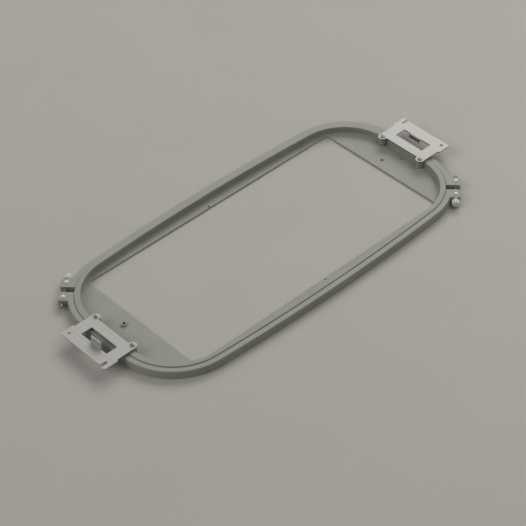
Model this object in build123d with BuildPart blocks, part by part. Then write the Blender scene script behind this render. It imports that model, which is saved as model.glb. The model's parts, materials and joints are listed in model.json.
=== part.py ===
from build123d import *
from math import atan2, cos, radians, sin, sqrt
import os

os.makedirs("parts", exist_ok=True)

# Embroidery hoop for a free-arm machine. A rigid inner ring with two mounting plates sits in a
# split outer ring, and a thumb screw at two opposite corners draws the two halves together.
# Millimetres. The origin is the hoop's centre on the surface it lies on, +X runs along the hoop
# to the right mounting plate, +Y to the back long side, +Z up.

# Line on which the two rings meet, seen from above
split_length = 473.2
split_width = 220.4
split_corner_radius = 71.2
side_bow = 10.0

# Rings
ring_height = 9.6
ring_gap = 0.5
outer_ring_width = 6.6
outer_ring_flare = 1.2
outer_edge_chamfer = 0.7
inner_ring_side_width = 5.4
inner_ring_end_width = 7.6
inner_ring_rise = 1.0
inner_edge_chamfer = 0.5

# Floor of the inner ring, from its walls to the sewing window
floor_thickness = 2.0
floor_end_depth = 38.75
floor_side_depth = 12.55
window_corner_radius = 5.0
floor_edge_chamfer = 0.4
foot_chamfer = 0.6

# Marks, boss and holes in the floor of the inner ring
centre_notch_width = 2.4
centre_notch_depth = 4.0
centre_notch_shift = 4.5
floor_feature_shift = 9.6
floor_hole_inset = 13.3
floor_hole_radius = 2.1
floor_boss_inset = 15.5
floor_boss_radius = 3.4
floor_boss_rise = 2.2
floor_slot_setback = 6.4
floor_slot_shift = 5.6
floor_slot_length = 6.0
floor_slot_width = 2.6

# Corner clamps, sizes along the screw and outwards from the outer ring's edge
clamp_angle = 42.7
slit_width = 8.4
ear_depth = 14.2
ear_reach = 10.0
ear_corner_radius = 2.4
ear_root_radius = 3.4
pin_setback = 8.0
pin_reach = 4.65
pin_radius = 3.0
pin_clearance = 0.05
pin_head_edge = 0.3
pin_head_rise = 1.3
pin_crown_radius = 1.6
pin_foot_gap = 0.5

# Thumb screws
screw_radius = 2.0
screw_tip_reach = 7.0
screw_tip_chamfer = 0.5
thread_clearance = 0.05
plain_clearance = 0.1
ear_hole_clearance = 0.35
washer_radius = 4.2
washer_thickness = 1.0
washer_clearance = 0.15
knob_play = 0.1
knob_radius = 4.8
knob_floor_gap = 0.4
knob_length = 9.8
knob_collar_radius = 3.8
knob_collar_length = 1.2
knob_end_chamfer = 1.6
knob_rim_width = 0.75
knob_groove_radius = 1.1
knob_groove_depth = 0.7
knob_groove_sides = 6
knob_grooves = 8
knob_recess_depth = 1.6
knob_grip_clearance = 0.02
screw_slot_width = 0.8
screw_slot_depth = 0.9

# Mounting plates, sizes outwards from the line through the two plate screws
plate_thickness = 1.5
plate_lift = 2.5
plate_depth = 44.5
plate_setback = 1.0
plate_step_start = 25.0
plate_step_run = 2.4
plate_corner_radius = 2.5
plate_window_start = 13.6
plate_window_depth = 15.2
plate_window_width = 43.6
plate_window_radius = 0.8
locating_setback = 6.8
locating_pitch = 63.3
locating_radius = 2.0
finger_width = 5.25
finger_reach = 1.8
finger_chamfer = 2.4
tab_width = 17.0
tab_shift = 3.0
tab_rise = 8.0
tab_drop = 4.8
tab_bend_radius = 1.0
tab_corner_radius = 0.8

# Lobes of the plates, bosses under them, plate screws and their inserts
lobe_inset = 10.1
lobe_pitch = 62.6
lobe_radius = 5.3
lobe_fillet = 1.5
boss_radius = 4.6
boss_hole_spare = 0.8
plate_screw_radius = 1.5
plate_screw_length = 8.0
plate_hole_clearance = 0.2
plate_screw_head_radius = 2.85
plate_screw_head_height = 1.5
insert_radius = 2.2
insert_length = 5.0
insert_clearance = 0.03

# One overrun serves every cut
overrun = 1.0

# Places that follow from the sizes above
half_length = split_length / 2
half_width = split_width / 2
side_radius = (half_length**2 + side_bow**2) / (2 * side_bow)
side_centre_y = half_width - side_radius
corner_orbit = side_radius - split_corner_radius
corner_x = half_length - split_corner_radius
corner_y = side_centre_y + sqrt(corner_orbit**2 - corner_x**2)

outer_face = ring_gap / 2
outer_rim = outer_face + outer_ring_width
inner_face = -ring_gap / 2
inner_rim = inner_face - inner_ring_side_width
inner_end_extra = inner_ring_end_width - inner_ring_side_width
inner_end_rim = inner_rim - inner_end_extra
inner_top = ring_height + inner_ring_rise
window_length = 2 * (half_length + inner_end_rim - floor_end_depth)
window_width = 2 * (half_width + inner_rim - floor_side_depth)
floor_slot_x = half_length + inner_end_rim - floor_slot_setback

clamp_turn = radians(clamp_angle)
clamp_radius = split_corner_radius + outer_rim
clamp_along = corner_x * cos(clamp_turn) - corner_y * sin(clamp_turn)
clamp_out = corner_x * sin(clamp_turn) + corner_y * cos(clamp_turn) + clamp_radius
slit_face = slit_width / 2
ear_face = slit_face + ear_depth
root_end = ear_face + ear_root_radius
root_drop = clamp_radius - sqrt(clamp_radius**2 - root_end**2) + outer_edge_chamfer
pin_along = slit_face + pin_setback
pin_top = ring_height + pin_head_edge + pin_head_rise
screw_height = knob_radius + knob_floor_gap
knob_start = ear_face + washer_thickness + knob_play
knob_end = knob_start + knob_length
knob_recess_radius = knob_radius - knob_end_chamfer - knob_rim_width
screw_end = knob_end - knob_recess_depth
screw_tip = ear_face + screw_tip_reach

lobe_x = half_length - lobe_inset
lobe_y = lobe_pitch / 2
plate_bottom = ring_height + plate_lift
plate_top = plate_bottom + plate_thickness
boss_hole_depth = plate_screw_length - plate_thickness + boss_hole_spare
plate_side = lobe_y + lobe_radius
plate_inner_edge = lobe_x + plate_setback
plate_step_x = lobe_x + plate_step_start
plate_edge = lobe_x + plate_depth
window_near = lobe_x + plate_window_start
window_far = window_near + plate_window_depth
locating_x = plate_edge - locating_setback
locating_y = locating_pitch / 2
finger_side = locating_y + locating_radius
plate_far_side = finger_side + finger_width
finger_tip = plate_edge + finger_reach


def ring_outline(grow, end_extra=0):
    """Split line moved outwards by grow, its straight ends then brought in by end_extra."""
    centre_x = corner_x - end_extra
    centre_y = side_centre_y + sqrt(corner_orbit**2 - centre_x**2)
    turn = atan2(centre_y - side_centre_y, centre_x)
    tangent_x = (side_radius + grow) * cos(turn)
    tangent_y = side_centre_y + (side_radius + grow) * sin(turn)
    end_x = half_length + grow - end_extra
    corner_radius = split_corner_radius + grow
    middle_x = centre_x + corner_radius * cos(turn / 2)
    middle_y = centre_y + corner_radius * sin(turn / 2)
    with BuildSketch(mode=Mode.PRIVATE) as outline:
        with BuildLine():
            for side in (1, -1):
                ThreePointArc(
                    (-tangent_x, side * tangent_y),
                    (0, side * (half_width + grow)),
                    (tangent_x, side * tangent_y),
                )
                Line((side * end_x, -centre_y), (side * end_x, centre_y))
                for end in (1, -1):
                    ThreePointArc(
                        (end * end_x, side * centre_y),
                        (end * middle_x, side * middle_y),
                        (end * tangent_x, side * tangent_y),
                    )
        make_face()
    return outline.sketch


def clamp_plane(side, height=0):
    """Level plane on a clamp, X along its screw towards the knob and Y out from the ring's edge."""
    along = (-side * cos(clamp_turn), -side * sin(clamp_turn), 0)
    centred = Plane(origin=(0, 0, height), x_dir=along, z_dir=(0, 0, 1))
    return Plane(
        origin=centred.from_local_coords((-clamp_along, clamp_out, 0)),
        x_dir=along,
        z_dir=(0, 0, 1),
    )


def screw_plane(side, along):
    """Plane square to a clamp's screw, a distance along it, looking towards the knob."""
    level = clamp_plane(side, screw_height)
    return Plane(
        origin=level.from_local_coords((along, pin_reach, 0)),
        x_dir=level.y_dir,
        z_dir=level.x_dir,
    )


def plate_plane(side, height=0):
    """Level plane at the hoop's centre, X running out to one of the mounting plates."""
    return Plane(origin=(0, 0, height), x_dir=(side, 0, 0), z_dir=(0, 0, 1))


# Ears that carry the pins, both ears of a clamp in one block before the slit is cut
with BuildPart() as ears:
    with BuildSketch(clamp_plane(-1), clamp_plane(1)):
        Rectangle(2 * ear_face, 2 * ear_reach)
        with Locations((0, -root_drop)):
            Rectangle(2 * root_end + 2 * overrun, ear_reach, align=(Align.CENTER, Align.MAX))
        fillet(vertices().group_by(Axis.Y)[-2].sort_by(Axis.X)[1:3], radius=ear_root_radius)
        fillet(vertices().group_by(Axis.Y)[-1], radius=ear_corner_radius)
    extrude(amount=ring_height)
    chamfer(edges().group_by(Axis.Z)[-1], length=outer_edge_chamfer)

# Outer ring, moulded with a drafted outside, bored for the pins and screws and then slit
with BuildPart() as outer_ring:
    with BuildSketch():
        add(ring_outline(outer_rim + outer_ring_flare))
    with BuildSketch(Plane.XY.offset(ring_height)):
        add(ring_outline(outer_rim))
    loft(ruled=True)
    chamfer(edges().group_by(Axis.Z)[-1], length=outer_edge_chamfer)
    add(ears.part)
    with BuildSketch():
        add(ring_outline(outer_face))
    extrude(amount=ring_height, mode=Mode.SUBTRACT)
    with BuildSketch(clamp_plane(-1), clamp_plane(1)):
        Rectangle(slit_width, 2 * (ear_reach + outer_ring_width))
        with Locations((-pin_along, pin_reach), (pin_along, pin_reach)):
            Circle(pin_radius + pin_clearance)
    extrude(amount=ring_height, mode=Mode.SUBTRACT)
    bore_start = ear_face + overrun
    with BuildSketch(screw_plane(-1, -bore_start), screw_plane(1, -bore_start)):
        Circle(screw_radius + ear_hole_clearance)
    extrude(amount=2 * bore_start, mode=Mode.SUBTRACT)

# Front half: left end, front long side and the nut ear of the left clamp
with BuildPart() as outer_ring_front:
    add(outer_ring.solids().sort_by(Axis.Y)[0])

outer_ring_front.part.label = "outer_ring_front"
export_step(outer_ring_front.part, "parts/outer_ring_front.step")

# Back half: the front half turned half a turn about the hoop's centre
with BuildPart() as outer_ring_back:
    add(outer_ring.solids().sort_by(Axis.Y)[-1])

outer_ring_back.part.label = "outer_ring_back"
export_step(outer_ring_back.part, "parts/outer_ring_back.step")

# Inner ring with its thin floor, which carries the fabric and the mounting plates
with BuildPart() as inner_ring:
    with BuildSketch():
        add(ring_outline(inner_face))
    extrude(amount=inner_top)
    with BuildSketch(Plane.XY.offset(floor_thickness)):
        add(ring_outline(inner_rim, inner_end_extra))
    extrude(amount=inner_top, mode=Mode.SUBTRACT)
    chamfer(edges().group_by(Axis.Z)[-1], length=inner_edge_chamfer)
    chamfer(edges().filter_by_position(Axis.Z, floor_thickness, floor_thickness), length=foot_chamfer)
    with BuildSketch():
        RectangleRounded(window_length, window_width, window_corner_radius)
    extrude(amount=floor_thickness, mode=Mode.SUBTRACT)
    chamfer(edges(Select.LAST).group_by(Axis.Z)[-1], length=floor_edge_chamfer)

    # Bosses under the plates' lobes, joined to the end walls
    for side in (-1, 1):
        with BuildSketch(plate_plane(side)):
            with Locations((lobe_x, lobe_y), (lobe_x, -lobe_y)):
                Circle(boss_radius)
        extrude(amount=plate_bottom)
        with BuildSketch(plate_plane(side)):
            with Locations((lobe_x, lobe_y), (lobe_x, -lobe_y)):
                Rectangle(lobe_inset, 2 * boss_radius, align=(Align.MIN, Align.CENTER))
            add(ring_outline(inner_face - inner_edge_chamfer), mode=Mode.INTERSECT)
        extrude(amount=inner_top)
        with Locations(plate_plane(side, plate_bottom)):
            with Locations((lobe_x, lobe_y), (lobe_x, -lobe_y)):
                Hole(insert_radius + insert_clearance, depth=boss_hole_depth)

    # Raised boss on the left floor, hole and slot in the right one, centre marks on both sides
    with BuildSketch():
        with Locations((-window_length / 2 - floor_boss_inset, floor_feature_shift)):
            Circle(floor_boss_radius)
    extrude(amount=floor_thickness + floor_boss_rise)
    with BuildSketch():
        with Locations((-window_length / 2 - floor_boss_inset, floor_feature_shift)):
            Circle(floor_hole_radius)
        with Locations((window_length / 2 + floor_hole_inset, floor_feature_shift)):
            Circle(floor_hole_radius)
        with Locations((floor_slot_x, -floor_slot_shift)):
            SlotOverall(floor_slot_length, floor_slot_width, rotation=90)
        with Locations(
            (-centre_notch_shift, window_width / 2),
            (centre_notch_shift, -window_width / 2),
        ):
            SlotOverall(2 * centre_notch_depth, centre_notch_width, rotation=90)
    extrude(amount=floor_thickness + floor_boss_rise, mode=Mode.SUBTRACT)

inner_ring.part.label = "inner_ring"
export_step(inner_ring.part, "parts/inner_ring.step")

for side, name in ((-1, "left"), (1, "right")):
    # Mounting plate: sheet blank with two lobes, a window, a locating hole and an open slot
    with BuildPart() as mounting_plate:
        with BuildSketch(plate_plane(side, plate_bottom)):
            with BuildLine():
                Polyline(
                    (plate_inner_edge, -lobe_y),
                    (lobe_x, -lobe_y),
                    (lobe_x, -plate_side),
                    (plate_step_x, -plate_side),
                    (plate_step_x + plate_step_run, -plate_far_side),
                    (plate_edge, -plate_far_side),
                    (plate_edge, finger_side),
                    (finger_tip, finger_side),
                    (finger_tip, plate_far_side - finger_chamfer),
                    (finger_tip - finger_chamfer, plate_far_side),
                    (plate_step_x + plate_step_run, plate_far_side),
                    (plate_step_x, plate_side),
                    (lobe_x, plate_side),
                    (lobe_x, lobe_y),
                    (plate_inner_edge, lobe_y),
                    close=True,
                )
            make_face()
            with Locations((lobe_x, lobe_y), (lobe_x, -lobe_y)):
                Circle(lobe_radius)
            necks = vertices().filter_by_position(Axis.X, plate_inner_edge, plate_inner_edge)
            fillet(necks, radius=lobe_fillet)
            hole_corner = vertices().sort_by_distance((plate_edge, -plate_far_side))[0]
            fillet(hole_corner, radius=plate_corner_radius)
            with Locations(((window_near + window_far) / 2, 0)):
                RectangleRounded(
                    plate_window_depth, plate_window_width, plate_window_radius, mode=Mode.SUBTRACT
                )
            with Locations((lobe_x, lobe_y), (lobe_x, -lobe_y)):
                Circle(plate_screw_radius + plate_hole_clearance, mode=Mode.SUBTRACT)
            with Locations((locating_x, -locating_y)):
                Circle(locating_radius, mode=Mode.SUBTRACT)
            with Locations((locating_x, locating_y)):
                Circle(locating_radius, mode=Mode.SUBTRACT)
                Rectangle(
                    plate_edge - locating_x + overrun,
                    2 * locating_radius,
                    align=(Align.MIN, Align.CENTER),
                    mode=Mode.SUBTRACT,
                )
        extrude(amount=plate_thickness)

        # Tab lanced from the window and bent up on the left plate, down on the right one
        rising = -side
        inner_bend_z = plate_top if rising > 0 else plate_bottom
        outer_bend_z = plate_bottom if rising > 0 else plate_top
        tip_z = plate_top + (tab_rise if rising > 0 else -tab_drop)
        tab_face = window_far - tab_bend_radius
        tab_back = tab_face - plate_thickness
        bend_end_z = inner_bend_z + rising * tab_bend_radius
        tab_plane = Plane(origin=(0, side * tab_shift, 0), x_dir=(side, 0, 0), z_dir=(0, -side, 0))
        with BuildSketch(tab_plane):
            with BuildLine():
                Line((window_far, outer_bend_z), (window_far, inner_bend_z))
                JernArc((window_far, inner_bend_z), (-1, 0), tab_bend_radius, -90 * rising)
                Polyline(
                    (tab_face, bend_end_z),
                    (tab_face, tip_z),
                    (tab_back, tip_z),
                    (tab_back, bend_end_z),
                )
                JernArc(
                    (window_far, outer_bend_z),
                    (-1, 0),
                    tab_bend_radius + plate_thickness,
                    -90 * rising,
                )
            make_face()
        extrude(amount=tab_width / 2, both=True)
        tip_corners = edges().filter_by(Axis.X).filter_by_position(Axis.Z, tip_z, tip_z)
        fillet(tip_corners, radius=tab_corner_radius)

    mounting_plate.part.label = f"{name}_mounting_plate"
    export_step(mounting_plate.part, f"parts/{name}_mounting_plate.step")

    # Two pan-head screws that hold the plate down on its bosses
    with BuildPart() as plate_screws:
        with BuildSketch(plate_plane(side, plate_top)):
            with Locations((lobe_x, lobe_y), (lobe_x, -lobe_y)):
                Circle(plate_screw_head_radius)
        extrude(amount=plate_screw_head_height)
        with BuildSketch(plate_plane(side, plate_top - plate_screw_length)):
            with Locations((lobe_x, lobe_y), (lobe_x, -lobe_y)):
                Circle(plate_screw_radius)
        extrude(amount=plate_screw_length)

    plate_screws.part.label = f"{name}_plate_screws"
    export_step(plate_screws.part, f"parts/{name}_plate_screws.step")

    # Threaded inserts, flush with the tops of the bosses
    with BuildPart() as plate_inserts:
        with BuildSketch(plate_plane(side, plate_bottom)):
            with Locations((lobe_x, lobe_y), (lobe_x, -lobe_y)):
                Circle(insert_radius)
                Circle(plate_screw_radius + insert_clearance, mode=Mode.SUBTRACT)
        extrude(amount=-insert_length)

    plate_inserts.part.label = f"{name}_plate_inserts"
    export_step(plate_inserts.part, f"parts/{name}_plate_inserts.step")

    screw_level = clamp_plane(side, screw_height)
    screw_axis = Axis(screw_plane(side, 0).origin, screw_level.x_dir)

    # Clamp screw, from its tip past the nut ear to its slotted end in the knob's recess
    with BuildPart() as clamp_screw:
        with BuildSketch(screw_plane(side, -screw_tip)):
            Circle(screw_radius)
        extrude(amount=screw_tip + screw_end)
        chamfer(edges().sort_by(screw_axis)[0], length=screw_tip_chamfer)
        with BuildSketch(screw_plane(side, screw_end)):
            Rectangle(2 * (screw_radius + overrun), screw_slot_width)
        extrude(amount=-screw_slot_depth, mode=Mode.SUBTRACT)

    clamp_screw.part.label = f"{name}_clamp_screw"
    export_step(clamp_screw.part, f"parts/{name}_clamp_screw.step")

    # Knob gripped on the screw: collar, notched grip, bevelled end and a recess
    knob_grip = screw_radius + knob_grip_clearance
    knob_shoulder = knob_start + knob_collar_length
    with BuildPart() as clamp_knob:
        with BuildSketch(Plane(screw_axis.position, x_dir=screw_level.x_dir, z_dir=(0, 0, 1))):
            with BuildLine():
                Polyline(
                    (knob_start, knob_grip),
                    (knob_start, knob_collar_radius),
                    (knob_shoulder, knob_collar_radius),
                    (knob_shoulder, knob_radius),
                    (knob_end - knob_end_chamfer, knob_radius),
                    (knob_end, knob_radius - knob_end_chamfer),
                    (knob_end, knob_recess_radius),
                    (screw_end, knob_recess_radius),
                    (screw_end, knob_grip),
                    close=True,
                )
            make_face()
        revolve(axis=screw_axis)
        with BuildSketch(screw_plane(side, knob_shoulder)):
            with PolarLocations(knob_radius + knob_groove_radius - knob_groove_depth, knob_grooves):
                RegularPolygon(knob_groove_radius, knob_groove_sides)
        extrude(amount=knob_length, mode=Mode.SUBTRACT)

    clamp_knob.part.label = f"{name}_clamp_knob"
    export_step(clamp_knob.part, f"parts/{name}_clamp_knob.step")

    # Washer between the knob and its ear
    with BuildPart() as clamp_washer:
        with BuildSketch(screw_plane(side, ear_face)):
            Circle(washer_radius)
            Circle(screw_radius + washer_clearance, mode=Mode.SUBTRACT)
        extrude(amount=washer_thickness)

    clamp_washer.part.label = f"{name}_clamp_washer"
    export_step(clamp_washer.part, f"parts/{name}_clamp_washer.step")

    # Domed pins that stand in the ears: a plain one by the knob and a threaded one beyond the slit
    for along, clearance, kind in (
        (pin_along, plain_clearance, "plain_pin"),
        (-pin_along, thread_clearance, "nut_pin"),
    ):
        pin_foot = clamp_plane(side).from_local_coords((along, pin_reach, 0))
        with BuildPart() as pin:
            with BuildSketch(Plane(pin_foot, x_dir=screw_level.x_dir, z_dir=-screw_level.y_dir)):
                with BuildLine():
                    Polyline(
                        (0, pin_foot_gap),
                        (pin_radius, pin_foot_gap),
                        (pin_radius, ring_height + pin_head_edge),
                        (pin_crown_radius, pin_top),
                        (0, pin_top),
                        close=True,
                    )
                make_face()
            revolve(axis=Axis(pin_foot, (0, 0, 1)))
            with BuildSketch(screw_plane(side, along - pin_radius - overrun)):
                Circle(screw_radius + clearance)
            extrude(amount=2 * (pin_radius + overrun), mode=Mode.SUBTRACT)

        pin.part.label = f"{name}_{kind}"
        export_step(pin.part, f"parts/{name}_{kind}.step")
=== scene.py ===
"""Looks, light and camera of an oblong machine embroidery hoop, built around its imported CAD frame."""

import json
import math

import bmesh
import bpy
from bpy.props import FloatProperty, FloatVectorProperty, IntProperty, PointerProperty
from mathutils import Matrix, Vector


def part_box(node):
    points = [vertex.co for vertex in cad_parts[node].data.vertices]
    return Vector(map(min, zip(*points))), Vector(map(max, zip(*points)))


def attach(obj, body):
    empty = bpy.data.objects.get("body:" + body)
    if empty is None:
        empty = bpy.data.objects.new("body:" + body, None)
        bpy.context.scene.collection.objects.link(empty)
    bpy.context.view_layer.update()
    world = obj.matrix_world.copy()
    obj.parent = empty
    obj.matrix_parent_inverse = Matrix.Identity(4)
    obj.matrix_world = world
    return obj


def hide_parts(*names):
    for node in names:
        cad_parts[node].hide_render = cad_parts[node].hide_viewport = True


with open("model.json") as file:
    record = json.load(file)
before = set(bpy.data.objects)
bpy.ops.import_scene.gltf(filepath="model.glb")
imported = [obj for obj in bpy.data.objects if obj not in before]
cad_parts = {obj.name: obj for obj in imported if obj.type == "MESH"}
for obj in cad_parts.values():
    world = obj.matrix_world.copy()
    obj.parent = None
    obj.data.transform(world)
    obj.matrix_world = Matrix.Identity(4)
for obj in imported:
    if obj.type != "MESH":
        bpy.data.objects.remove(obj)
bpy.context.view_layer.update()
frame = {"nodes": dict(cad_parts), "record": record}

bl_info = {
    "name": "Embroidery hoop",
    "version": (1, 0, 0),
    "blender": (4, 5, 0),
    "location": "View3D > Sidebar > Hoop",
    "description": "Dresses an oblong machine embroidery hoop and lights it on a pale floor",
    "category": "Object",
}

MM = 0.001
SAME_POINT = 0.001 * MM
SHEET_THICKNESS = 1.5 * MM
UP = (0, 0, 1)
SIDES = ("left", "right")
BODY_OF = {
    node: body for body, nodes in frame["record"]["behaviour"]["bodies"].items() for node in nodes
}
JOINTS = {joint["name"]: joint for joint in frame["record"]["behaviour"]["joints"]}


# Nodes and meshes


class Nodes:
    """Adds nodes to a tree, with their settings and inputs, and returns their outputs."""

    def __init__(self, tree):
        self.tree = tree
        self.column = 0

    def put(self, socket, value):
        """Link a socket to an input, or set the input's own value."""
        if isinstance(value, bpy.types.NodeSocket):
            self.tree.links.new(value, socket)
        elif isinstance(value, (list, tuple)) and len(value) == 3 and socket.type == "RGBA":
            socket.default_value = (*value, 1)
        else:
            socket.default_value = value

    def add(self, kind, inputs=None, **settings):
        """New node of a kind, its settings given by name and its inputs by name or number."""
        node = self.tree.nodes.new(kind)
        self.column += 1
        node.location = (180 * (self.column % 24), -220 * (self.column // 24))
        for key, value in settings.items():
            setattr(node, key, value)
        for key, value in (inputs or {}).items():
            self.put(node.inputs[key], value)
        return node

    def math(self, operation, *values, clamp=False):
        """Result of a Math node."""
        node = self.add("ShaderNodeMath", dict(enumerate(values)), operation=operation, use_clamp=clamp)
        return node.outputs[0]

    def vector(self, x=0.0, y=0.0, z=0.0):
        """Vector put together from three values."""
        return self.add("ShaderNodeCombineXYZ", {"X": x, "Y": y, "Z": z}).outputs[0]

    def remap(self, value, low, high, to_low=0.0, to_high=1.0):
        """Value moved from one range to another and held inside it."""
        inputs = {0: value, 1: low, 2: high, 3: to_low, 4: to_high}
        return self.add("ShaderNodeMapRange", inputs, clamp=True).outputs[0]

    def mix(self, share, first, second):
        """Colour between two others."""
        node = self.add("ShaderNodeMix", data_type="RGBA")
        self.put(node.inputs[0], share)
        self.put(node.inputs[6], first)
        self.put(node.inputs[7], second)
        return node.outputs[2]


def linear(colour):
    """Scene-linear colour from the three display values that a colour picker shows, 0 to 255."""
    shares = [value / 255 for value in colour]
    return [s / 12.92 if s <= 0.04045 else ((s + 0.055) / 1.055) ** 2.4 for s in shares]


def titled(values):
    """Values given by keyword, under the names that a tree's inputs have."""
    return {key.replace("_", " ").title(): value for key, value in values.items()}


def number_inputs(**defaults):
    """Number inputs of a node group, given by keyword with their defaults."""
    kinds = {int: "NodeSocketInt", float: "NodeSocketFloat"}
    return [(label, kinds[type(default)], default) for label, default in titled(defaults).items()]


def group_tree(name, kind, inputs, outputs):
    """Node group with named inputs and outputs, its nodes helper and its two end nodes."""
    tree = bpy.data.node_groups.new(name, kind)
    result_type = "NodeSocketGeometry" if kind == "GeometryNodeTree" else "NodeSocketFloat"
    for label, socket_type, default in inputs:
        socket = tree.interface.new_socket(name=label, in_out="INPUT", socket_type=socket_type)
        if default is not None:
            socket.default_value = default
    for label in outputs:
        tree.interface.new_socket(name=label, in_out="OUTPUT", socket_type=result_type)
    nodes = Nodes(tree)
    return nodes, nodes.add("NodeGroupInput").outputs, nodes.add("NodeGroupOutput").inputs


def evaluated_mesh(holder):
    """Plain mesh that an object's modifiers make."""
    depsgraph = bpy.context.evaluated_depsgraph_get()
    return bpy.data.meshes.new_from_object(
        holder.evaluated_get(depsgraph), preserve_all_data_layers=True, depsgraph=depsgraph
    )


def tree_mesh(name, tree, base, **values):
    """Plain mesh that a geometry tree makes from a base mesh, with its named inputs set."""
    holder = bpy.data.objects.new(name, base)
    bpy.context.scene.collection.objects.link(holder)
    modifier = holder.modifiers.new("Shape", "NODES")
    modifier.node_group = tree
    sockets = [item for item in tree.interface.items_tree if item.item_type == "SOCKET"]
    inputs = {item.name: item.identifier for item in sockets if item.in_out == "INPUT"}
    for key, value in titled(values).items():
        modifier[inputs[key]] = value
    mesh = evaluated_mesh(holder)
    holder.modifiers.remove(modifier)
    bpy.data.objects.remove(holder)
    if not mesh.polygons:
        raise RuntimeError(f"{name} came out empty")
    return mesh


def dress(name, mesh, material, slot, *nodes):
    """Finished piece that stands for CAD nodes of one body and moves with that body."""
    mesh.name = name
    mesh.materials.clear()
    mesh.materials.append(material)
    piece = bpy.data.objects.new(name, mesh)
    bpy.context.scene.collection.objects.link(piece)
    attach(piece, BODY_OF[nodes[0]])
    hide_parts(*nodes)
    return piece


def crisp(mesh, degrees):
    """Smooth shading with sharp edges where faces meet at more than an angle."""
    mesh.shade_smooth()
    mesh.set_sharp_from_angle(angle=math.radians(degrees))


def rounded_copy(node, edge_round, foot_round=0):
    """Merged copy of a CAD node's mesh, its flat faces joined up and its edges rounded over."""
    flat, sharp, segments = math.radians(0.3), math.radians(32), 2
    mesh = frame["nodes"][node].data.copy()
    work = bmesh.new()
    work.from_mesh(mesh)
    bmesh.ops.remove_doubles(work, verts=work.verts, dist=SAME_POINT)
    bmesh.ops.dissolve_limit(
        work, angle_limit=flat, verts=work.verts, edges=work.edges, delimit={"NORMAL"}
    )
    lowest = min(vert.co.z for vert in work.verts)
    foot = work.edges.layers.float.new("bevel_weight_edge")
    for edge in work.edges:
        level = all(vert.co.z < lowest + SAME_POINT for vert in edge.verts)
        edge[foot] = 1.0 if level and edge.calc_face_angle(0) > sharp else 0.0
    work.to_mesh(mesh)
    work.free()
    mesh.shade_smooth()
    holder = bpy.data.objects.new(node + "_work", mesh)
    bpy.context.scene.collection.objects.link(holder)
    if foot_round:
        base = holder.modifiers.new("Foot", "BEVEL")
        base.width = foot_round
        base.segments = segments
        base.limit_method = "WEIGHT"
    bevel = holder.modifiers.new("Round", "BEVEL")
    bevel.width = edge_round
    bevel.segments = segments
    bevel.limit_method = "ANGLE"
    bevel.angle_limit = sharp
    bevel.miter_outer = "MITER_ARC"
    holder.modifiers.new("Normals", "WEIGHTED_NORMAL").keep_sharp = True
    rounded = evaluated_mesh(holder)
    bpy.data.objects.remove(holder)
    return rounded


def outline_mesh(points, radius, length):
    """Outline of a turned piece as shares of its radius and length, with its run as a share in Y."""
    runs = [0.0]
    for (r0, z0), (r1, z1) in zip(points, points[1:]):
        runs.append(runs[-1] + math.hypot(r1 - r0, z1 - z0))
    mesh = bpy.data.meshes.new("outline")
    spots = [(r / radius, run / runs[-1], z / length) for (r, z), run in zip(points, runs)]
    mesh.from_pydata(spots, [(i, i + 1) for i in range(len(spots) - 1)], [])
    return mesh


def turned_mesh(name, tree, points, sharp, **values):
    """Mesh that a turning tree makes from an outline, with edges sharp from an angle in degrees."""
    outline = outline_mesh(points, values["radius"], values["length"])
    mesh = tree_mesh(name, tree, outline, **values)
    crisp(mesh, sharp)
    return mesh


def arc(centre, radius, start, end, steps):
    """Points of an arc in an outline, angles in degrees."""
    turns = [math.radians(start + (end - start) * i / steps) for i in range(steps + 1)]
    return [(centre[0] + radius * math.cos(t), centre[1] + radius * math.sin(t)) for t in turns]


def dome(inner, outer, low, high, steps):
    """Points of a domed end in an outline, from its outer radius up to its inner one."""
    quarter = arc((0, 0), 1, 0, 90, steps)
    return [(inner + (outer - inner) * x, low + (high - low) * y) for x, y in quarter]


def axis_frame(origin, axis, across):
    """Matrix that stands a piece made along Z on an axis, with its X along a direction across it."""
    along = Vector(axis).normalized()
    side = Vector(across)
    side = (side - side.dot(along) * along).normalized()
    third = along.cross(side)
    return Matrix.Translation(origin) @ Matrix((side, third, along)).transposed().to_4x4()


def screw_line(side):
    """Point on a clamp screw's line, and the line's direction from the tip to the knob."""
    joint = JOINTS[f"{side}_knob_turn"]
    return Vector(joint["pos_m"]), Vector(joint["axis"])


def stand(mesh, side, start):
    """Stand a mesh made along Z on a clamp screw's line, its foot at a distance along the line."""
    origin, axis = screw_line(side)
    mesh.transform(axis_frame(origin + axis * start, axis, UP))


def foot_centre(node):
    """Middle of the underside of a CAD node's box."""
    low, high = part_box(node)
    return Vector(((low.x + high.x) / 2, (low.y + high.y) / 2, low.z))


def sheet_top(side):
    """Height of a mounting plate's upper face, one sheet above the inserts under it."""
    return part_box(f"{side}_plate_inserts")[1].z + SHEET_THICKNESS


def extent(node, side):
    """Reach of a CAD node along its clamp screw's line, from and to, and its radius about it."""
    origin, axis = screw_line(side)
    axis.normalize()
    offsets = [vertex.co - origin for vertex in frame["nodes"][node].data.vertices]
    along = [offset.dot(axis) for offset in offsets]
    return min(along), max(along), max((o - a * axis).length for o, a in zip(offsets, along))


# Geometry trees


def unrolled_grid(n, rows, sides):
    """Flat grid of rows by sides, with its points' own places, row numbers and shares of a turn."""
    columns = n.math("ADD", sides, 1)
    inputs = {"Size X": 1, "Size Y": 1, "Vertices X": rows, "Vertices Y": columns}
    grid = n.add("GeometryNodeMeshGrid", inputs).outputs["Mesh"]
    spot = n.add("GeometryNodeInputPosition").outputs[0]
    split = n.add("ShaderNodeSeparateXYZ", {0: spot}).outputs
    run = n.math("ADD", split["X"], 0.5)
    row = n.math("ROUND", n.math("MULTIPLY", run, n.math("SUBTRACT", rows, 1)))
    return grid, spot, row, n.math("ADD", split["Y"], 0.5)


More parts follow.
